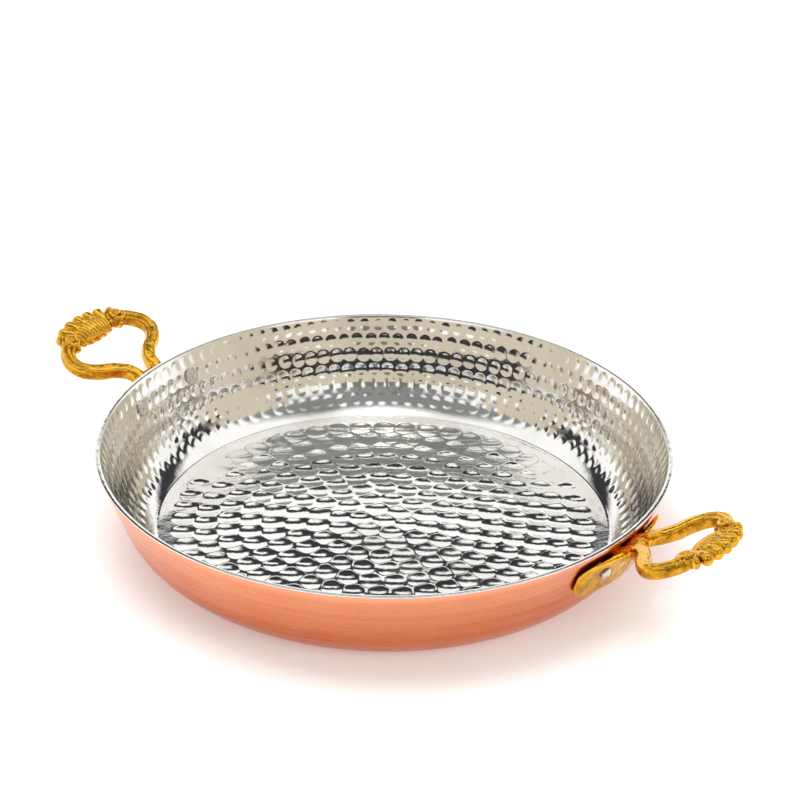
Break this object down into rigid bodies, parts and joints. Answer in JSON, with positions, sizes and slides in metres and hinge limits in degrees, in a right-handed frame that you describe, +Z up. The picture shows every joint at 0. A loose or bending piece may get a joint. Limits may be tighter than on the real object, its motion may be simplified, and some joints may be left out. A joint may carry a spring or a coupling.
{
  "type": "two-handled frying pan",
  "caption": "Round shallow pan of hammered copper with a bright tinned inside and two riveted cast brass loop handles.",
  "frame": {"origin": "centre of the pan's base ring, on the surface that it stands on", "axes": "+Z up along the pan's axis, +X towards one handle's middle and -X towards the other's"},
  "size_m": [0.3588, 0.26, 0.0555],
  "materials": {
    "copper": "hammered copper, polished, with fine brushed lines round the wall",
    "tin": "bright hammered tin",
    "brass": "polished cast brass",
    "rivet_metal": "satin"
  },
  "bodies": {
    "root": {"pan_body": "copper", "tin_lining": "tin", "handle_left": "brass", "handle_right": "brass", "rivet_left_front": "rivet_metal", "rivet_left_back": "rivet_metal", "rivet_right_front": "rivet_metal", "rivet_right_back": "rivet_metal"}
  },
  "joints": []
}
